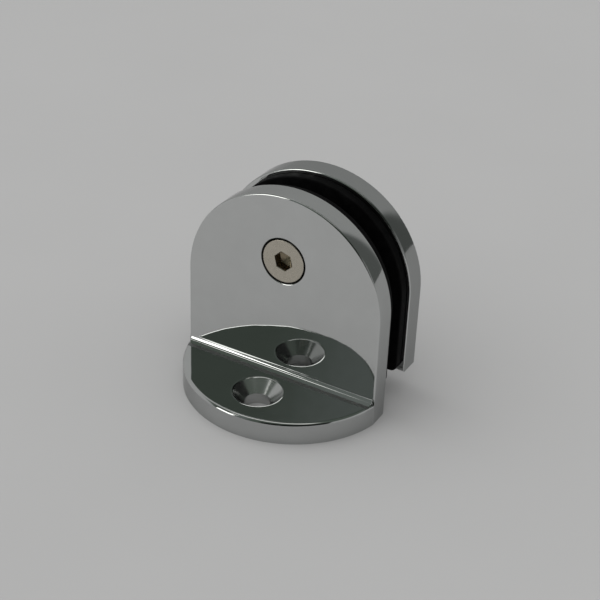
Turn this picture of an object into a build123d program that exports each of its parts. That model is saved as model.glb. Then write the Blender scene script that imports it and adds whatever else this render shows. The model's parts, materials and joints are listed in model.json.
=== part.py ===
from build123d import *
import math
import os

# Glass panel clamp, in millimetres. X runs across the jaws, Y from the front jaw to the rear jaw, Z up.
# The origin lies on the mounting face, in the middle of the front jaw's face.

# Front jaw and flange, one casting
jaw_width = 50.0
clamp_height = 51.0
front_thickness = 5.5
flange_thickness = 5.5
flange_reach = 20.0
root_round = 1.8
casting_edge_round = 0.4
flange_edge_round = 0.5
countersink_mouth_round = 0.6

# Fixing hole in the flange
fixing_hole_reach = 9.6
fixing_bore = 6.2
fixing_countersink = 11.8

# Rear jaw, a cored casting
jaw_gap = 9.5
rear_thickness = 5.5
rear_lift = 6.0
rear_wall = 1.5
rear_rim = 1.5
core_corner_round = 2.0
boss_length = 8.0
thread_end_wall = 1.2
boss_edge_chamfer = 0.5

# Rubber pads and bush
pad_thickness = 2.5
pad_inset = 1.0
pad_corner_round = 1.6
pad_edge_round = 0.3
bush_diameter = 13.0
bush_wall = 1.45
bush_length = 10.4

# Clamp screw, its drop measured from the top of the clamp
screw_drop = 16.0
screw_diameter = 6.0
screw_length = 16.0
screw_tip_chamfer = 0.7
head_diameter = 10.7
head_sink = 0.05
socket_width = 4.0
socket_depth = 2.4
socket_point_depth = 1.0
socket_turn = 45.0
socket_mouth_chamfer = 0.15
screw_countersink = 11.6

# Clearances and cutting overrun
seat_clearance = 0.05
bore_clearance = 0.08
thread_clearance = 0.05
bush_clearance = 0.05
front_pad_clearance = 0.5
cut_overrun = 1.0
place_tolerance = 0.01

# Angles and shares
countersink_angle = 90.0
root_turn = 52.0
drill_point_angle = 118.0
half_turn = 180.0
hexagon_sides = 6

# Worked out from the sizes above
half_width = jaw_width / 2
arch_centre = clamp_height - half_width
flange_radius = (half_width**2 + flange_reach**2) / (2 * flange_reach)
flange_centre = flange_radius - flange_reach
rear_face = front_thickness + jaw_gap
rear_back = rear_face + rear_thickness
screw_height = clamp_height - screw_drop
boss_diameter = bush_diameter - 2 * (bush_wall + bush_clearance)
countersink_slope = math.tan(math.radians(countersink_angle / 2))
socket_radius = socket_width / 2 / math.cos(math.radians(half_turn / hexagon_sides))


def jawPlane(depth, height=0):
    """Upright plane across the clamp, at this depth behind the front jaw's face, facing the rear."""
    return Plane(origin=(0, depth, height), x_dir=(-1, 0, 0), z_dir=(0, 1, 0))


def jawOutline(bottom, inset):
    """D outline of a jaw: straight sides under a half round arch, set in all round by the inset."""
    half = half_width - inset
    low = bottom + inset
    foot = Line((-half, low), (half, low))
    right = Line((half, low), (half, arch_centre))
    arch = ThreePointArc((half, arch_centre), (0, arch_centre + half), (-half, arch_centre))
    left = Line((-half, arch_centre), (-half, low))
    return make_face([foot, right, arch, left])


def footCorners(shape, bottom):
    """The two corner edges at the foot of a D shape, which run along Y."""
    low = bottom + place_tolerance
    return shape.edges().filter_by(Axis.Y).filter_by(lambda edge: edge.center().Z < low)


def faceLoop(shape, depth):
    """All the edges of a shape that lie in the upright plane at this depth."""
    near = depth - place_tolerance
    far = depth + place_tolerance
    return shape.edges().filter_by(
        lambda edge: near < edge.bounding_box().min.Y and edge.bounding_box().max.Y < far
    )


def turnedHole(start, direction, profile):
    """Solid of revolution that cuts a hole: profile lists (distance along the hole, radius)."""
    first = profile[0][0]
    last, last_radius = profile[-1]
    outline = [(0, first)] + [(radius, along) for along, radius in profile]
    if last_radius > 0:
        outline.append((0, last))
    across = Vector(1, 0, 0)
    plane = Plane(origin=start, x_dir=across, z_dir=across.cross(Vector(direction)))
    return revolve(plane * make_face(Polyline(*outline, close=True)), Axis(start, direction))


def countersunkHole(start, direction, mouth_radius, bore_radius, length):
    """Countersink that opens at the start point, with its bore running on to past the length."""
    overrun_radius = mouth_radius + cut_overrun * countersink_slope
    cone_depth = (mouth_radius - bore_radius) / countersink_slope
    profile = [
        (-cut_overrun, overrun_radius),
        (cone_depth, bore_radius),
        (length + cut_overrun, bore_radius),
    ]
    return turnedHole(start, direction, profile)


def sidePlane():
    """Upright plane at the left end of the jaw, for shapes that run across it."""
    return Plane(origin=(-half_width, 0, 0), x_dir=(0, 1, 0), z_dir=(1, 0, 0))


def bracketSection():
    """Side view of the bracket: upright jaw, flange and the round in their corner."""
    root_top = flange_thickness + root_round
    outline = [
        Line((-flange_reach, 0), (front_thickness, 0)),
        Line((front_thickness, 0), (front_thickness, clamp_height)),
        Line((front_thickness, clamp_height), (0, clamp_height)),
        Line((0, clamp_height), (0, root_top)),
        RadiusArc((0, root_top), (-root_round, flange_thickness), root_round),
        Line((-root_round, flange_thickness), (-flange_reach, flange_thickness)),
        Line((-flange_reach, flange_thickness), (-flange_reach, 0)),
    ]
    return make_face(outline)


def bracketFootprint():
    """View from above: the jaw's rectangle with the flange's arc through its front corners."""
    arc = ThreePointArc((-half_width, 0), (0, -flange_reach), (half_width, 0))
    right = Line((half_width, 0), (half_width, front_thickness))
    back = Line((half_width, front_thickness), (-half_width, front_thickness))
    left = Line((-half_width, front_thickness), (-half_width, 0))
    return make_face([arc, right, back, left])


def baseBracket():
    """Front jaw and flange, where the side view, the top view and the D outline all meet."""
    from_side = extrude(sidePlane() * bracketSection(), amount=jaw_width)
    from_above = extrude(bracketFootprint(), amount=clamp_height)
    from_front = extrude(jawPlane(-flange_reach) * jawOutline(0, 0), amount=flange_reach + front_thickness)
    bracket = from_side & from_above & from_front
    bracket = roundBracketEdges(bracket)
    bracket -= rootCutter()
    bracket -= flangeRimCutter()
    bracket -= countersunkHole(
        (0, -fixing_hole_reach, flange_thickness),
        (0, 0, -1),
        fixing_countersink / 2,
        fixing_bore / 2,
        flange_thickness,
    )
    bracket -= countersunkHole(
        (0, 0, screw_height),
        (0, 1, 0),
        screw_countersink / 2,
        screw_diameter / 2 + bore_clearance,
        front_thickness,
    )
    return roundMouths(bracket)


def roundBracketEdges(bracket):
    """Small rounds on the jaw's rear edge, then on its front edge down to the root."""
    above_foot = place_tolerance
    above_root = flange_thickness + root_round + place_tolerance
    rear_edges = faceLoop(bracket, front_thickness).filter_by(lambda edge: edge.center().Z > above_foot)
    bracket = fillet(rear_edges, casting_edge_round)
    front_edges = faceLoop(bracket, 0).filter_by(lambda edge: edge.center().Z > above_root)
    return fillet(front_edges, casting_edge_round)


def rootCutter():
    """Bar that ends the round in the corner early, in a straight slope down to the flange."""
    turn = math.radians(root_turn)
    end_depth = -root_round * (1 - math.cos(turn))
    drop = root_round * (1 - math.sin(turn))
    end_height = flange_thickness + drop
    foot_depth = end_depth - drop * math.tan(turn)
    far = -root_round - cut_overrun
    outline = Polyline(
        (foot_depth, flange_thickness),
        (end_depth, end_height),
        (far, end_height),
        (far, flange_thickness),
        close=True,
    )
    return extrude(sidePlane() * make_face(outline), amount=jaw_width)


def roundMouths(bracket):
    """Small rounds where the two countersinks open."""
    mouth_radii = (fixing_countersink / 2, screw_countersink / 2)
    mouths = bracket.edges().filter_by(GeomType.CIRCLE).filter_by(
        lambda edge: min(abs(edge.radius - radius) for radius in mouth_radii) < place_tolerance
    )
    return fillet(mouths, countersink_mouth_round)


def flangeRimCutter():
    """Ring that rounds the flange's top rim and trims the ends of the root to it, in front of the jaw."""
    outer = flange_radius + cut_overrun
    inner = flange_radius - flange_edge_round
    low = flange_thickness - flange_edge_round
    high = flange_thickness + root_round + cut_overrun
    outline = [
        RadiusArc((inner, flange_thickness), (flange_radius, low), flange_edge_round),
        Line((flange_radius, low), (outer, low)),
        Line((outer, low), (outer, high)),
        Line((outer, high), (inner, high)),
        Line((inner, high), (inner, flange_thickness)),
    ]
    centre = Plane(origin=(0, flange_centre, 0), x_dir=(1, 0, 0), z_dir=(0, -1, 0))
    ring = revolve(centre * make_face(outline), Axis((0, flange_centre, 0), (0, 0, 1)))
    in_front = extrude(jawPlane(-outer) * Rectangle(2 * outer, 2 * high), amount=outer)
    return ring & in_front


def rearPlate():
    """Rear jaw: a D plate with rounded edges, cored out on its inner side round a threaded boss."""
    plate = extrude(jawPlane(rear_face) * jawOutline(rear_lift, 0), amount=rear_thickness)
    plate = fillet(faceLoop(plate, rear_face) + faceLoop(plate, rear_back), casting_edge_round)
    core_depth = rear_thickness - rear_wall
    core = extrude(jawPlane(rear_face) * jawOutline(rear_lift, rear_rim), amount=core_depth)
    core = fillet(footCorners(core, rear_lift + rear_rim), core_corner_round)
    plate -= core
    boss_end = rear_face - boss_length
    boss_circle = jawPlane(boss_end, screw_height) * Circle(boss_diameter / 2)
    boss = extrude(boss_circle, amount=boss_length + core_depth)
    boss = chamfer(faceLoop(boss, boss_end), boss_edge_chamfer)
    plate += boss
    thread_depth = boss_length + rear_thickness - thread_end_wall
    thread_radius = screw_diameter / 2 + thread_clearance
    point_depth = thread_radius / math.tan(math.radians(drill_point_angle / 2))
    plate -= turnedHole(
        (0, boss_end, screw_height),
        (0, 1, 0),
        [(-cut_overrun, thread_radius), (thread_depth - point_depth, thread_radius), (thread_depth, 0)],
    )
    return plate


def gasket(near_face, hole_diameter):
    """Rubber pad of the jaw's D outline, set in a little, with a hole for the bush."""
    pad = extrude(jawPlane(near_face) * jawOutline(rear_lift, pad_inset), amount=pad_thickness)
    pad = fillet(footCorners(pad, rear_lift + pad_inset), pad_corner_round)
    pad = fillet(faceLoop(pad, near_face) + faceLoop(pad, near_face + pad_thickness), pad_edge_round)
    hole = turnedHole(
        (0, near_face, screw_height),
        (0, 1, 0),
        [(-cut_overrun, hole_diameter / 2), (pad_thickness + cut_overrun, hole_diameter / 2)],
    )
    return pad - hole


def frontGasket():
    """Pad on the front jaw, its hole well clear of the moving bush."""
    return gasket(front_thickness, bush_diameter + 2 * front_pad_clearance)


def rearGasket():
    """Pad on the rear jaw, its hole close round the bush."""
    return gasket(rear_face - pad_thickness, bush_diameter + 2 * bush_clearance)


def glassBush():
    """Rubber bush on the boss, from the floor of the rear jaw's core through the hole in the glass."""
    start = rear_back - rear_wall - bush_length
    ring = Circle(bush_diameter / 2) - Circle(boss_diameter / 2 + bush_clearance)
    return extrude(jawPlane(start, screw_height) * ring, amount=bush_length)


def clampScrew():
    """Countersunk screw with a hexagon socket, turned about its own axis."""
    head_radius = head_diameter / 2
    shank_radius = screw_diameter / 2
    seat_radius = screw_countersink / 2 - seat_clearance
    land_end = (seat_radius - head_radius) / countersink_slope
    cone_end = (seat_radius - shank_radius) / countersink_slope
    tip_radius = shank_radius - screw_tip_chamfer
    profile = [
        (head_sink, head_radius),
        (land_end, head_radius),
        (cone_end, shank_radius),
        (screw_length - screw_tip_chamfer, shank_radius),
        (screw_length, tip_radius),
    ]
    axis_start = (0, 0, screw_height)
    screw = turnedHole(axis_start, (0, 1, 0), profile)
    socket_plane = Plane(origin=(0, head_sink, screw_height), x_dir=(1, 0, 0), z_dir=(0, -1, 0))
    hexagon = RegularPolygon(socket_radius, hexagon_sides, rotation=socket_turn)
    socket = extrude(socket_plane * hexagon, amount=-socket_depth)
    flat_radius = socket_width / 2
    mouth_radius = socket_radius + socket_mouth_chamfer
    mouth_end = head_sink + mouth_radius - flat_radius
    mouth = turnedHole(
        axis_start,
        (0, 1, 0),
        [(0, mouth_radius), (head_sink, mouth_radius), (mouth_end, flat_radius)],
    )
    point = turnedHole(
        axis_start,
        (0, 1, 0),
        [(socket_depth, flat_radius), (socket_depth + socket_point_depth, 0)],
    )
    return screw - socket - mouth - point


pieces = {
    "base_bracket": baseBracket,
    "rear_plate": rearPlate,
    "front_gasket": frontGasket,
    "rear_gasket": rearGasket,
    "glass_bush": glassBush,
    "clamp_screw": clampScrew,
}

os.makedirs("parts", exist_ok=True)
for name, make in pieces.items():
    shape = make()
    shape.label = name
    export_step(shape, f"parts/{name}.step")
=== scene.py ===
import bpy
import json
import math
import numpy as np
from mathutils import Matrix, Vector


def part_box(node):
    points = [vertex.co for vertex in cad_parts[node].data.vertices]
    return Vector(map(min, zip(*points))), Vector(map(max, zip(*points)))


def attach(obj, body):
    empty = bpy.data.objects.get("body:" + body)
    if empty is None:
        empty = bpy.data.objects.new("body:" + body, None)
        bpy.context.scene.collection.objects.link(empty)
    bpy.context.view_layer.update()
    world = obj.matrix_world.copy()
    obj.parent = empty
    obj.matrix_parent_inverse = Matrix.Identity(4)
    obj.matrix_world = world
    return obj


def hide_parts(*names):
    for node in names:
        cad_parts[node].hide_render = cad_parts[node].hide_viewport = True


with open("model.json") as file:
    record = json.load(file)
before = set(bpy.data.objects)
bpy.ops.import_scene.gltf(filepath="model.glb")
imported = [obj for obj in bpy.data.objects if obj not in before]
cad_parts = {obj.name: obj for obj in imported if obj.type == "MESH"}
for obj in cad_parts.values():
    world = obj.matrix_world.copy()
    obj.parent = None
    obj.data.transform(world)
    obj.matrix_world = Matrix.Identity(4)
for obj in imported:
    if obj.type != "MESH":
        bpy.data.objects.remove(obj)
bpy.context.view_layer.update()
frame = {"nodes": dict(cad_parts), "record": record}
print("frame loaded:", sorted(frame["nodes"]))

mm = 0.001
scene = bpy.context.scene


# Places that the frame gives
def namedRow(rows, name):
    return next(row for row in rows if row["name"] == name)


record = frame["record"]
screwAxis = namedRow(record["behaviour"]["joints"], "screw_turn")["pos_m"]
holeCentre = namedRow(record["mounts"], "fixing_hole")["pos_m"]
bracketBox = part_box("base_bracket")
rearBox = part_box("rear_plate")
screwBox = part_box("clamp_screw")
jawThickness = bracketBox[1][1]
jawTop = bracketBox[1][2]
jawHalf = bracketBox[1][0]


# Camera, fitted to the edges of the clamp in the photograph
cameraSetup = {
    "azimuth": 28.9,        # degrees to the right of straight on
    "elevation": 31.28,     # degrees above the floor
    "roll": 2.4,            # degrees, the picture is slightly turned
    "distance": 327.9 * mm,
    "lens": 85.7,           # mm
    "sensor": 36,           # mm, its width
    "aim": (0, 10 * mm, 30.5 * mm),
    "aimAcross": -0.69 * mm,    # along the picture's width
    "aimDrop": 9.06 * mm,       # down the picture's upright
    "near": 0.01, "far": 20,    # metres, what the camera sees between
}


def makeCamera(setup):
    azimuth, elevation, roll = (math.radians(setup[k]) for k in ("azimuth", "elevation", "roll"))
    level = math.cos(elevation)
    back = Vector((math.sin(azimuth) * level, -math.cos(azimuth) * level, math.sin(elevation)))
    right = Vector((math.cos(azimuth), math.sin(azimuth), 0))
    up = back.cross(right)
    aim = Vector(setup["aim"]) + right * setup["aimAcross"] - up * setup["aimDrop"]
    turnedRight = right * math.cos(roll) + up * math.sin(roll)
    turnedUp = up * math.cos(roll) - right * math.sin(roll)
    turn = Matrix((turnedRight, turnedUp, back)).transposed().to_4x4()
    data = bpy.data.cameras.new("camera")
    data.lens = setup["lens"]
    data.sensor_width = setup["sensor"]
    data.clip_start = setup["near"]
    data.clip_end = setup["far"]
    camera = bpy.data.objects.new("camera", data)
    camera.matrix_world = Matrix.Translation(aim + back * setup["distance"]) @ turn
    scene.collection.objects.link(camera)
    scene.camera = camera
    print("camera placed")


# Small helpers for node trees
def addNode(tree, kind, **settings):
    node = tree.nodes.new(kind)
    for name, value in settings.items():
        setattr(node, name, value)
    return node


def feed(tree, socket, value):
    # a number or a color is written on the socket, and another node's output is linked to it
    if isinstance(value, (int, float)):
        socket.default_value = value
    elif isinstance(value, tuple):
        socket.default_value = (*value, 1)
    else:
        tree.links.new(value, socket)


def mathNode(tree, operation, *values):
    node = addNode(tree, "ShaderNodeMath", operation=operation)
    for socket, value in zip(node.inputs, values):
        feed(tree, socket, value)
    return node.outputs[0]


def plus(tree, first, second):
    return mathNode(tree, "ADD", first, second)


def minus(tree, first, second):
    return mathNode(tree, "SUBTRACT", first, second)


def times(tree, first, *others):
    for other in others:
        first = mathNode(tree, "MULTIPLY", first, other)
    return first


def sizeOf(tree, value):
    return mathNode(tree, "ABSOLUTE", value)


def lengthOf(tree, first, second):
    # square root of the sum of two squares
    return mathNode(tree, "SQRT", plus(tree, times(tree, first, first), times(tree, second, second)))


def past(tree, value, start):
    # how far a value lies past the start, and 0 before it
    return mathNode(tree, "MAXIMUM", minus(tree, value, start), 0.0)


def shortOf(tree, value, start):
    # how far a value lies before the start, and 0 past it
    return mathNode(tree, "MAXIMUM", minus(tree, start, value), 0.0)


def dotWith(tree, vector, direction):
    node = addNode(tree, "ShaderNodeVectorMath", operation="DOT_PRODUCT")
    tree.links.new(vector, node.inputs[0])
    node.inputs[1].default_value = direction
    return node.outputs["Value"]


def smoothStep(tree, value, low, high):
    # 0 below low, 1 above high, smooth between; low may be the larger one
    node = addNode(tree, "ShaderNodeMapRange", interpolation_type="SMOOTHSTEP")
    tree.links.new(value, node.inputs["Value"])
    node.inputs["From Min"].default_value = low
    node.inputs["From Max"].default_value = high
    return node.outputs["Result"]


def scaleTo(tree, value, low, high, outLow, outHigh):
    # straight line from (low, outLow) to (high, outHigh), held at both ends
    node = addNode(tree, "ShaderNodeMapRange")
    tree.links.new(value, node.inputs["Value"])
    for name, number in zip(("From Min", "From Max", "To Min", "To Max"), (low, high, outLow, outHigh)):
        node.inputs[name].default_value = number
    return node.outputs["Result"]


def mixColor(tree, factor, first, second, blend="MIX"):
    node = addNode(tree, "ShaderNodeMix", data_type="RGBA", blend_type=blend)
    for socket, value in zip((node.inputs[0], *node.inputs[6:8]), (factor, first, second)):
        feed(tree, socket, value)
    return node.outputs[2]


def mixVector(tree, factor, first, second):
    node = addNode(tree, "ShaderNodeMix", data_type="VECTOR")
    for socket, value in zip((node.inputs[0], *node.inputs[4:6]), (factor, first, second)):
        tree.links.new(value, socket)
    return node.outputs[1]


def mixNumber(tree, factor, first, second):
    node = addNode(tree, "ShaderNodeMix", data_type="FLOAT")
    for socket, value in zip((node.inputs[0], *node.inputs[2:4]), (factor, first, second)):
        tree.links.new(value, socket)
    return node.outputs[0]


def splitPlace(tree, place):
    node = addNode(tree, "ShaderNodeSeparateXYZ")
    tree.links.new(place, node.inputs[0])
    return node.outputs


def vectorOf(tree, x, y, z):
    node = addNode(tree, "ShaderNodeCombineXYZ")
    for socket, value in zip(node.inputs, (x, y, z)):
        feed(tree, socket, value)
    return node.outputs[0]


def objectPlace(tree):
    return addNode(tree, "ShaderNodeTexCoord").outputs["Object"]


def noiseOf(tree, place, scale, detail=2, roughness=0.5, stretch=(1, 1, 1)):
    # noise between 0 and 1; scale is in cells a metre
    mapping = addNode(tree, "ShaderNodeMapping")
    tree.links.new(place, mapping.inputs["Vector"])
    mapping.inputs["Scale"].default_value = stretch
    noise = addNode(tree, "ShaderNodeTexNoise")
    tree.links.new(mapping.outputs["Vector"], noise.inputs["Vector"])
    for name, number in zip(("Scale", "Detail", "Roughness"), (scale, detail, roughness)):
        noise.inputs[name].default_value = number
    return noise.outputs["Fac"]


def bumpOf(tree, height, distance, normal=None):
    node = addNode(tree, "ShaderNodeBump")
    tree.links.new(height, node.inputs["Height"])
    node.inputs["Distance"].default_value = distance
    node.inputs["Strength"].default_value = 1.0
    if normal is not None:
        tree.links.new(normal, node.inputs["Normal"])
    return node.outputs["Normal"]


def newMaterial(name):
    material = bpy.data.materials.new(name)
    material.use_nodes = True
    return material, material.node_tree, material.node_tree.nodes["Principled BSDF"]


# The studio is painted in the world by direction, for what the polished metal mirrors: pale walls
# behind and at the sides, a dark ceiling and a dark side behind the camera, a window at the front
# left, a thin strip lamp above it, a lamp overhead, a black screen at the front right and a dark
# doorway at the right. Everything matt is lit by a plain sky and a soft key light instead.
studio = {
    "sky": (0.76, 0.76, 0.756),          # even light on matt surfaces
    "key": (0.74, 0.74, 0.735),          # added to it at the front left, above
    "keySide": (-0.62, -0.42, 0.66),
    "keyReach": (0.45, 0.98),            # cosine of the angle from its middle, at the rim and inside
    "wall": (0.42, 0.425, 0.42),
    "dark": (0.090, 0.108, 0.092),
    "darkPaler": (0.150, 0.168, 0.158),
    "palerSide": (-0.425, -0.355),       # x of a direction, where the paler band starts
    "palerEnd": (-0.28, -0.14),          # x of a direction, where it ends
    "darkFront": (-0.25, 0.05),          # y of a direction, where the dark side ends
    "darkLeft": (-0.70, -0.80),          # x of a direction, where it ends on the left
    "darkRight": (0.50, 0.70),
    "ceilingTilt": 0.35,                 # the dark ceiling comes lower on the right
    "ceilingEdge": (0.74, 0.88),
    # the patches, each later one over those before it: color, direction, half sizes, soft edges
    "doorway": ((0.120, 0.128, 0.122), (0.67, 0.63, 0.38), (0.30, 0.48), (0.04, 0.04)),
    "lamp": ((0.95, 0.95, 0.92), (-0.02, -0.10, 0.99), (0.50, 0.13), (0.12, 0.04)),
    "screen": ((0.012, 0.013, 0.012), (0.537, -0.739, 0.407), (0.62, 0.40), (0.05, 0.05)),
    "window": ((2.8, 2.8, 2.7), (-0.567, -0.79, 0.225), (0.163, 0.235), (0.006, 0.03)),
    "strip": ((1.5, 1.5, 1.45), (-0.420, -0.581, 0.698), (0.06, 0.045), (0.012, 0.015)),
    "nearlySideways": 0.1,               # a patch fades out as a direction turns away from it
    "leastDepth": 1e-3,
}


def boxMask(tree, direction, s, centre, half, soft):
    # 1 inside a rectangle on the sky: the direction is divided by its depth towards the centre
    ahead = Vector(centre).normalized()
    across = Vector((0, 0, 1)).cross(ahead).normalized()
    upright = ahead.cross(across)
    depth = mathNode(tree, "MAXIMUM", dotWith(tree, direction, ahead), s["leastDepth"])
    mask = smoothStep(tree, dotWith(tree, direction, ahead), 0.0, s["nearlySideways"])
    for axis, size, edge in zip((across, upright), half, soft):
        offset = sizeOf(tree, mathNode(tree, "DIVIDE", dotWith(tree, direction, axis), depth))
        mask = times(tree, mask, smoothStep(tree, offset, size + edge, size - edge))
    return mask


def makeStudio(s):
    world = bpy.data.worlds.new("studio")
    scene.world = world
    world.use_nodes = True
    tree = world.node_tree
    background = tree.nodes["Background"]
    direction = addNode(tree, "ShaderNodeTexCoord").outputs["Generated"]
    x, y, z = splitPlace(tree, direction)
    front = smoothStep(tree, y, *s["darkFront"])
    pale = mathNode(tree, "MAXIMUM", front, smoothStep(tree, x, *s["darkLeft"]))
    pale = mathNode(tree, "MAXIMUM", pale, smoothStep(tree, x, *s["darkRight"]))
    height = plus(tree, z, times(tree, x, s["ceilingTilt"]))
    pale = times(tree, pale, smoothStep(tree, height, *reversed(s["ceilingEdge"])))
    palerStart = smoothStep(tree, x, *s["palerSide"])
    band = times(tree, palerStart, smoothStep(tree, x, *reversed(s["palerEnd"])))
    color = mixColor(tree, pale, mixColor(tree, band, s["dark"], s["darkPaler"]), s["wall"])
    for name in ("doorway", "lamp", "screen", "window", "strip"):
        patchColor, centre, half, soft = s[name]
        color = mixColor(tree, boxMask(tree, direction, s, centre, half, soft), color, patchColor)
    key = smoothStep(tree, dotWith(tree, direction, Vector(s["keySide"]).normalized()), *s["keyReach"])
    matt = mixColor(tree, key, s["sky"], tuple(a + b for a, b in zip(s["sky"], s["key"])))
    path = addNode(tree, "ShaderNodeLightPath")
    color = mixColor(tree, path.outputs["Is Glossy Ray"], matt, color)
    color = mixColor(tree, path.outputs["Is Camera Ray"], color, s["wall"])
    tree.links.new(color, background.inputs["Color"])
    background.inputs["Strength"].default_value = 1.0
    print("studio painted")


# Floor
floorSetup = {
    "size": 6.0,
    "color": (0.452, 0.452, 0.452),
    "mottle": 0.03, "mottleScale": 14,
    "roughness": 0.7, "specular": 0.1,
}


def makeFloor(setup):
    half = setup["size"] / 2
    corners = [(-half, -half, 0), (half, -half, 0), (half, half, 0), (-half, half, 0)]
    mesh = bpy.data.meshes.new("floor")
    mesh.from_pydata(corners, [], [(0, 1, 2, 3)])
    floor = bpy.data.objects.new("floor", mesh)
    scene.collection.objects.link(floor)
    material, tree, shader = newMaterial("matt floor")
    blotches = noiseOf(tree, objectPlace(tree), setup["mottleScale"], detail=3)
    pale = tuple(c * (1 + setup["mottle"]) for c in setup["color"])
    dull = tuple(c * (1 - setup["mottle"]) for c in setup["color"])
    tree.links.new(mixColor(tree, blotches, dull, pale), shader.inputs["Base Color"])
    shader.inputs["Roughness"].default_value = setup["roughness"]
    shader.inputs["Specular IOR Level"].default_value = setup["specular"]
    mesh.materials.append(material)
    print("floor laid")


# Polished plating. The large faces are mirrors; the rims are only buffed, so they are duller and
# very slightly crowned.
plating = {
    "face": (0.62, 0.63, 0.625),
    "rim": (0.485, 0.495, 0.49),
    "shadedRearRim": (0.385, 0.395, 0.39),    # the loose jaw's rim is painted a little darker, as painted shade
    "edgeTint": 0.75,
    "faceRoughness": (0.012, 0.035),
    "rimRoughness": (0.07, 0.13),
    "smudges": 120, "smudgeSpan": (0.35, 0.75),
    "film": (0.35, 0.70, 1.0, 0.955),   # the smudges from thin to thick, and what they leave of the color
    # where each jaw lies along Y; both are as thick as each other
    "jawDepths": ((0.0, jawThickness), (rearBox[1][1] - jawThickness, rearBox[1][1])),
    "crown": (0.07, 0.02),              # tilt of each jaw's rim at its edges, radians
    "turned": (0.80, 0.45),             # how much of a normal may point along Y or Z on a rim
    "rimStart": 0.3 * mm, "flangeRim": (5.2 * mm, 4.9 * mm),
    "rearFade": 0.2 * mm,
    "wavelength": 7 * mm, "waveTilt": 0.0035,
    "scratches": 9000, "scratchTilt": 0.0012, "scratchStretch": (0.04, 1, 1),
}
# Where the small rounds lie, and the lengths over which one finish fades into the next
edges = {
    "jawHalf": jawHalf, "archHeight": jawTop - jawHalf,     # the arch is a half circle
    "edgeRound": 0.4 * mm, "jawBeside": (0.5 * mm, 0.4 * mm), "jawAbove": 8 * mm,
    "flangeRadius": 25.625 * mm, "flangeCentre": 5.625 * mm, "flangeTop": 5.5 * mm,
    "flangeRound": 0.8 * mm, "flangeFront": -2.6 * mm, "flangeAbove": 3 * mm,
    "rootRound": 1.8 * mm, "rootInside": (-0.03 * mm, -0.02 * mm), "rootOutside": (0.04 * mm, 0.03 * mm),
    "slopeStart": 0.69 * mm, "slopeFoot": 1.2 * mm, "slopeLean": math.radians(52),
    "endMargin": (0.5 * mm, 0.6 * mm),  # the root's own finish stops short of the jaw's sides
    "tiny": 0.02 * mm, "soft": 0.01 * mm, "step": 0.1 * mm,
}
fixingHole = {
    "radius": 5.85 * mm, "top": 5.36 * mm, "soft": 0.1 * mm,
    "color": (0.56, 0.57, 0.56), "roughness": 0.16,
    "toolMark": 0.12 * mm,              # pitch of the rings in the hole
    "toolMarkTilt": 0.05,               # the lean they give the surface
}
rootFoot = {
    "start": -2.45 * mm, "startSoft": 0.2 * mm, "end": -1.25 * mm, "endSoft": 0.1 * mm,
    "above": (5.3 * mm, 5.4 * mm),
    "color": 0.35,                      # share of the face's color, darker as painted shade in the crease
    "roughness": 0.35,
}
screwSeat = {
    "radius": 5.78 * mm, "soft": 0.05 * mm, "depth": 0.06 * mm,
    "end": (6 * mm, 5 * mm),
    # the near-black color is painted shade in the gap round the screw's head
    "paintedShade": (0.02, 0.02, 0.018), "roughness": 0.5,
}


def awayFrom(tree, first, second, start, least):
    # length of two parts, and the share of each that lies past the start
    reach = lengthOf(tree, first, second)
    share = mathNode(tree, "DIVIDE", past(tree, reach, start), mathNode(tree, "MAXIMUM", reach, least))
    return reach, times(tree, first, share), times(tree, second, share)


def jawEdge(tree, e, x, y, z):
    inner = e["jawHalf"] - e["edgeRound"]
    height = past(tree, z, e["archHeight"])
    reach, outX, outZ = awayFrom(tree, x, height, inner, e["tiny"])
    beside, inside = e["jawBeside"]
    parts = []
    for near, far in plating["jawDepths"]:
        here = times(tree, smoothStep(tree, y, near - beside, near - inside),
                     smoothStep(tree, y, far + beside, far + inside))
        out = minus(tree, past(tree, y, far - e["edgeRound"]), shortOf(tree, y, near + e["edgeRound"]))
        parts.append(times(tree, out, here))
    start = inner + e["tiny"]
    mask = times(tree, smoothStep(tree, reach, start, start + e["soft"]),
                 smoothStep(tree, z, e["jawAbove"], e["jawAbove"] + e["step"]))
    return mask, vectorOf(tree, outX, plus(tree, *parts), outZ)


def flangeEdge(tree, e, x, y, z):
    inner = e["flangeRadius"] - e["flangeRound"]
    across = minus(tree, y, e["flangeCentre"])
    reach, outX, outY = awayFrom(tree, x, across, inner, e["tiny"])
    start = inner + e["tiny"]
    mask = times(tree, smoothStep(tree, reach, start, start + e["soft"]),
                 smoothStep(tree, y, e["flangeFront"], e["flangeFront"] - e["step"]),
                 smoothStep(tree, z, e["flangeAbove"], e["flangeAbove"] + e["step"]))
    return mask, vectorOf(tree, outX, outY, past(tree, z, e["flangeTop"] - e["flangeRound"]))


def betweenEnds(tree, e, x):
    short, shorter = e["endMargin"]
    return smoothStep(tree, sizeOf(tree, x), e["jawHalf"] - short, e["jawHalf"] - shorter)


def rootRound(tree, e, x, y, z):
    r = e["rootRound"]
    back = minus(tree, -r, y)
    down = minus(tree, e["flangeTop"] + r, z)
    gap = lengthOf(tree, back, down)
    mask = times(tree, smoothStep(tree, gap, *(r + limit for limit in e["rootInside"])),
                 smoothStep(tree, gap, *(r + limit for limit in e["rootOutside"])),
                 smoothStep(tree, y, -e["slopeStart"] - e["tiny"], -e["slopeStart"]),
                 smoothStep(tree, down, 0.0, e["soft"]), betweenEnds(tree, e, x))
    return mask, vectorOf(tree, 0.0, back, down)


def rootSlope(tree, e, x, y, z):
    above = e["flangeTop"] + e["tiny"]
    mask = times(tree, smoothStep(tree, y, -e["slopeStart"], -e["slopeStart"] - e["tiny"]),
                 smoothStep(tree, y, -e["slopeFoot"], -e["slopeFoot"] + e["tiny"]),
                 smoothStep(tree, z, above, above + e["tiny"]), betweenEnds(tree, e, x))
    return mask, vectorOf(tree, 0.0, -math.cos(e["slopeLean"]), math.sin(e["slopeLean"]))


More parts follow.
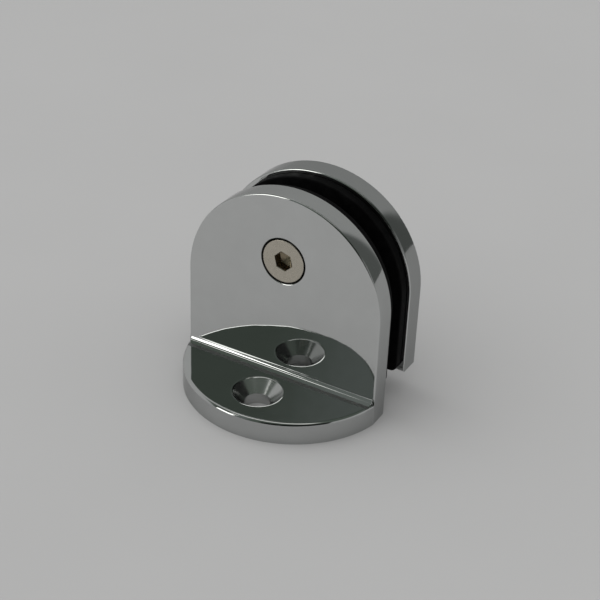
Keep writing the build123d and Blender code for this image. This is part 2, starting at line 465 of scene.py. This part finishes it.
def roundedEdges(tree, e, place, normal):
    # Smooth normals on the small edge rounds. On a round, the normal points away from the nearest
    # point of the same outline drawn one round further in. In the root it points to the root's axis.
    for part in (jawEdge, flangeEdge, rootRound, rootSlope):
        mask, direction = part(tree, e, *place)
        normal = mixVector(tree, mask, normal, direction)
    unit = addNode(tree, "ShaderNodeVectorMath", operation="NORMALIZE")
    tree.links.new(normal, unit.inputs[0])
    turn = addNode(tree, "ShaderNodeVectorTransform", vector_type="NORMAL",
                   convert_from="OBJECT", convert_to="WORLD")
    tree.links.new(unit.outputs[0], turn.inputs[0])
    return turn.outputs[0]


def rimMask(tree, p, normal, y, z):
    # The jaws' faces that don't look along Y, and the flange's edge under its top rim
    parts = splitPlace(tree, normal)
    sideways = smoothStep(tree, sizeOf(tree, parts[1]), *p["turned"])
    upright = smoothStep(tree, sizeOf(tree, parts[2]), *p["turned"])
    onJaws = times(tree, sideways, smoothStep(tree, y, -p["rimStart"], p["rimStart"]))
    onFlange = times(tree, smoothStep(tree, z, *p["flangeRim"]), upright)
    return plus(tree, onJaws, times(tree, onFlange, smoothStep(tree, y, 0.0, -p["rimStart"])))


def footShadeMask(tree, f, y, z):
    # The foot of the root and the strip before it, darkened as painted shade in the crease and made rougher
    along = times(tree, smoothStep(tree, y, f["start"], f["start"] + f["startSoft"]),
                  smoothStep(tree, y, f["end"] + f["endSoft"], f["end"]))
    return times(tree, along, smoothStep(tree, z, *f["above"]))


def seatShadeMask(tree, s, x, y, z):
    # The ring round the screw's head, painted near black as the shade in the gap between head and
    # countersink
    reach = lengthOf(tree, x, minus(tree, z, screwAxis[2]))
    around = smoothStep(tree, reach, s["radius"] + s["soft"], s["radius"] - s["soft"])
    below = times(tree, around, smoothStep(tree, y, s["depth"], s["depth"] + s["soft"]))
    return times(tree, below, smoothStep(tree, y, *s["end"]))


def crownHeight(tree, p, y):
    # The height falls with the square of the distance from the rim's middle line
    drops = []
    for (near, far), lean in zip(p["jawDepths"], p["crown"]):
        inside = mathNode(tree, "MINIMUM", mathNode(tree, "MAXIMUM", y, near), far)
        offset = minus(tree, inside, (near + far) / 2)
        drops.append(times(tree, times(tree, offset, offset), -lean / (far - near)))
    return plus(tree, *drops)


def platedMetal(p, e, h, f, s):
    material, tree, shader = newMaterial("polished plating")
    place = objectPlace(tree)
    x, y, z = splitPlace(tree, place)
    normal = addNode(tree, "ShaderNodeTexCoord").outputs["Normal"]
    rim = rimMask(tree, p, normal, y, z)
    foot = footShadeMask(tree, f, y, z)
    seat = seatShadeMask(tree, s, x, y, z)

    # The fixing hole is only turned: dull, with tool marks that run down its wall
    reach = lengthOf(tree, minus(tree, x, holeCentre[0]), minus(tree, y, holeCentre[1]))
    hole = times(tree, smoothStep(tree, reach, h["radius"], h["radius"] - h["soft"]),
                 smoothStep(tree, z, h["top"], h["top"] - h["soft"]))
    downTheWall = vectorOf(tree, reach, z, 0.0)

    smudges = noiseOf(tree, place, p["smudges"], detail=4, roughness=0.6)
    rearStart = p["jawDepths"][1][0]
    behind = smoothStep(tree, y, rearStart - p["rearFade"], rearStart)
    # the loose jaw's rim takes a darker copy of the rim's color, as painted shade
    color = mixColor(tree, rim, p["face"], mixColor(tree, behind, p["rim"], p["shadedRearRim"]))
    color = mixColor(tree, 1.0, color, scaleTo(tree, smudges, *p["film"]), blend="MULTIPLY")
    color = mixColor(tree, hole, color, h["color"])
    # the root's foot is darkened as painted shade in the crease
    color = mixColor(tree, foot, color, tuple(c * f["color"] for c in p["face"]))
    # the ring round the screw's head takes the near-black painted shade
    tree.links.new(mixColor(tree, seat, color, s["paintedShade"]), shader.inputs["Base Color"])

    faceRough = scaleTo(tree, smudges, *p["smudgeSpan"], *p["faceRoughness"])
    rimRough = scaleTo(tree, smudges, *p["smudgeSpan"], *p["rimRoughness"])
    dull = mixNumber(tree, rim, faceRough, rimRough)
    for mask, part in ((hole, h), (foot, f), (seat, s)):
        dull = plus(tree, dull, times(tree, mask, part["roughness"]))
    tree.links.new(dull, shader.inputs["Roughness"])
    shader.inputs["Metallic"].default_value = 1
    shader.inputs["Specular Tint"].default_value = (p["edgeTint"], p["edgeTint"], p["edgeTint"], 1)

    # Height over the smooth normals: crown, long waves, fine lines along X, and the tool marks
    bent = bumpOf(tree, crownHeight(tree, p, y), 1.0, normal=roundedEdges(tree, e, (x, y, z), normal))
    waves = noiseOf(tree, place, 1 / p["wavelength"], detail=1)
    bent = bumpOf(tree, waves, p["waveTilt"] * p["wavelength"], normal=bent)
    lines = noiseOf(tree, place, p["scratches"], detail=1, stretch=p["scratchStretch"])
    bent = bumpOf(tree, lines, p["scratchTilt"] / p["scratches"], normal=bent)
    marks = times(tree, noiseOf(tree, downTheWall, 1 / h["toolMark"]), hole)
    bent = bumpOf(tree, marks, h["toolMarkTilt"] * h["toolMark"], normal=bent)
    tree.links.new(bent, shader.inputs["Normal"])
    return material


blackRubber = {
    "color": (0.0012, 0.0012, 0.0013), "worn": (0.004, 0.004, 0.0042),
    "roughness": (0.55, 0.72), "specular": 0.06,
    "cloud": 400, "cloudSpan": (0.3, 0.7),
    "wearSpan": (0.4, 0.75, 0, 1),      # the cloud where the worn color starts and where it is full
    "grain": 5200, "grainDepth": 0.02 * mm,
}


def rubber(r):
    material, tree, shader = newMaterial("black rubber")
    place = objectPlace(tree)
    cloud = noiseOf(tree, place, r["cloud"], detail=4, roughness=0.65)
    wear = scaleTo(tree, cloud, *r["wearSpan"])
    tree.links.new(mixColor(tree, wear, r["color"], r["worn"]), shader.inputs["Base Color"])
    tree.links.new(scaleTo(tree, cloud, *r["cloudSpan"], *r["roughness"]), shader.inputs["Roughness"])
    shader.inputs["Specular IOR Level"].default_value = r["specular"]
    grain = noiseOf(tree, place, r["grain"])
    tree.links.new(bumpOf(tree, grain, r["grainDepth"]), shader.inputs["Normal"])
    return material


# Clamp screw: countersunk head with a hexagon socket, and a rolled thread. It stands for the plain
# CAD screw and lies inside it.
screwShape = {
    "headRadius": 5.25 * mm, "edgeRound": 0.14 * mm, "land": 0.40 * mm,
    "socketAcross": 4.2 * mm, "socketDepth": 2.4 * mm, "pointDepth": 0.9 * mm,
    "socketTurn": 44,                   # degrees
    "socketLip": 0.10 * mm,
    "shankRadius": 3.0 * mm, "pitch": 1.0 * mm, "threadDepth": 0.61 * mm, "threadStart": 3.9 * mm,
    "crest": 0.0625, "flank": 0.3125,   # shares of the pitch: half a crest, and one flank
    "tip": 0.8 * mm,
    "around": 180, "rowsPerTurn": 16,
    "sharpAngle": 32,                   # degrees
}


def polarGrid(name, rows, around, centre, sharpAngle):
    # Closed shell round the Y axis of the centre. rows is a list of (radius, y) with radius a number
    # or one value for each angle; the first and the last row are single points on the axis.
    angle = np.arange(around) * 2 * math.pi / around
    radius = np.stack([np.broadcast_to(r, around) for r, y in rows[1:-1]])
    depth = np.stack([np.broadcast_to(y, around) for r, y in rows[1:-1]])
    ring = np.stack((radius * np.cos(angle), depth, radius * np.sin(angle)), axis=-1).reshape(-1, 3)
    ends = np.array([(0, rows[0][1], 0), (0, rows[-1][1], 0)])
    points = np.concatenate((ring, ends)) + np.array([centre[0], 0, centre[2]])
    count = len(rows) - 2
    here = np.arange(around)
    after = (here + 1) % around
    first = (np.arange(count - 1) * around)[:, None]
    corners = (first + here, first + after, first + after + around, first + here + around)
    quads = np.stack(corners, axis=-1).reshape(-1, 4)
    start = np.stack((np.full(around, count * around), after, here), axis=-1)
    last = (count - 1) * around
    finish = np.stack((np.full(around, count * around + 1), last + here, last + after), axis=-1)
    mesh = bpy.data.meshes.new(name)
    mesh.from_pydata(points.tolist(), [], quads.tolist() + start.tolist() + finish.tolist())
    mesh.polygons.foreach_set("use_smooth", np.ones(len(mesh.polygons), dtype=bool))
    mesh.set_sharp_from_angle(angle=math.radians(sharpAngle))
    piece = bpy.data.objects.new(name, mesh)
    scene.collection.objects.link(piece)
    return piece


def socketRows(s, top, angle):
    # Hexagon: half its width divided by the cosine of the angle from the nearest flat's middle
    sixth = math.pi / 3
    fromFlat = (angle - math.radians(s["socketTurn"])) % sixth - sixth / 2
    hexagon = s["socketAcross"] / 2 / np.cos(fromFlat)
    floorDepth = top + s["socketDepth"]
    rows = [(0.0, floorDepth + s["pointDepth"])]
    rows += [(hexagon * f, floorDepth + s["pointDepth"] * (1 - f)) for f in np.linspace(0.1, 0.9, 9)]
    rows += [(hexagon, y) for y in np.linspace(floorDepth, top + s["socketLip"], 14)]
    return rows + [(hexagon + s["socketLip"], top)]


def headRows(s, top, socketMouth):
    # Flat face from the socket's mouth to a round edge, a short land, and the cone down to the shank
    faceEdge = s["headRadius"] - s["edgeRound"]
    rows = [(socketMouth * (1 - f) + faceEdge * f, top) for f in np.linspace(0.04, 1, 14)]
    rows += [(faceEdge + s["edgeRound"] * math.sin(a), top + s["edgeRound"] * (1 - math.cos(a)))
             for a in np.radians(np.linspace(15, 90, 6))]
    rows += [(s["headRadius"], top + s["land"])]
    coneEnd = top + s["land"] + s["headRadius"] - s["shankRadius"]
    return rows + [(s["shankRadius"], coneEnd)]


def threadRows(s, bottom, angle):
    # The radius drops by the depth in a trapezium that repeats once a pitch, and the angle over a
    # full turn is added to the place along the axis, which winds it right-handed
    rows = []
    step = s["pitch"] / s["rowsPerTurn"]
    for y in np.arange(s["threadStart"] - s["pitch"], bottom - s["tip"] / 2, step):
        phase = (y / s["pitch"] + angle / (2 * math.pi)) % 1
        groove = np.clip((np.minimum(phase, 1 - phase) - s["crest"]) / s["flank"], 0, 1)
        fade = np.clip((y - s["threadStart"] + s["pitch"]) / s["pitch"], 0, 1)
        taper = np.clip(bottom - y, 0, s["tip"]) - s["tip"]
        threaded = s["shankRadius"] - s["threadDepth"] * groove * fade
        rows.append((np.minimum(threaded, s["shankRadius"] + taper), y))
    return rows + [(s["shankRadius"] - s["tip"], bottom), (0.0, bottom)]


def makeScrew(s, centre, top, bottom):
    angle = np.arange(s["around"]) * 2 * math.pi / s["around"]
    socket = socketRows(s, top, angle)
    rows = socket + headRows(s, top, socket[-1][0]) + threadRows(s, bottom, angle)
    piece = polarGrid("threaded_screw", rows, s["around"], centre, s["sharpAngle"])
    print("screw made,", len(piece.data.polygons), "faces")
    return piece


turnedSteel = {
    # socket: a darker brown inside the hexagon socket, painted shade of the recess
    "color": (0.555, 0.515, 0.44), "socket": (0.28, 0.235, 0.165),
    "cloud": 700, "cloudSpan": (0.3, 0.7),
    "film": (0.93, 1.0),                # what the cloud leaves of the color, from thick to thin
    "roughness": (0.22, 0.34),
    "socketRadius": 2.45 * mm, "socketSoft": 0.1 * mm,
    "socketStart": 0.25 * mm, "socketStartSoft": 0.3 * mm,
    "ringPitch": 0.16 * mm, "ringDepth": 0.0016 * mm,
}


def stainless(t):
    material, tree, shader = newMaterial("stainless screw")
    place = objectPlace(tree)
    x, y, z = splitPlace(tree, place)
    radius = lengthOf(tree, x, minus(tree, z, screwAxis[2]))
    start = t["socketStart"]
    shadedSocket = times(tree, smoothStep(tree, radius, t["socketRadius"], t["socketRadius"] - t["socketSoft"]),
                     smoothStep(tree, y, start, start + t["socketStartSoft"]))
    cloud = noiseOf(tree, place, t["cloud"], detail=4, roughness=0.6)
    film = scaleTo(tree, cloud, *t["cloudSpan"], *t["film"])
    steel = mixColor(tree, 1.0, t["color"], film, blend="MULTIPLY")
    # the socket's inside takes the darker brown of painted shade
    tree.links.new(mixColor(tree, shadedSocket, steel, t["socket"]), shader.inputs["Base Color"])
    tree.links.new(scaleTo(tree, cloud, *t["cloudSpan"], *t["roughness"]), shader.inputs["Roughness"])
    shader.inputs["Metallic"].default_value = 1
    rings = mathNode(tree, "SINE", times(tree, radius, 2 * math.pi / t["ringPitch"]))
    tree.links.new(bumpOf(tree, rings, t["ringDepth"]), shader.inputs["Normal"])
    return material


def dress(names, material):
    for name in names:
        node = frame["nodes"][name]
        node.data.materials.clear()
        node.data.materials.append(material)
    print("dressed", names)


makeCamera(cameraSetup)
makeStudio(studio)
makeFloor(floorSetup)
dress(("base_bracket", "rear_plate"), platedMetal(plating, edges, fixingHole, rootFoot, screwSeat))
dress(("front_gasket", "rear_gasket", "glass_bush"), rubber(blackRubber))
screw = makeScrew(screwShape, screwAxis, screwBox[0][1], screwBox[1][1])
screw.data.materials.append(stainless(turnedSteel))
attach(screw, "screw")
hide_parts("clamp_screw")

scene.view_settings.view_transform = "Standard"
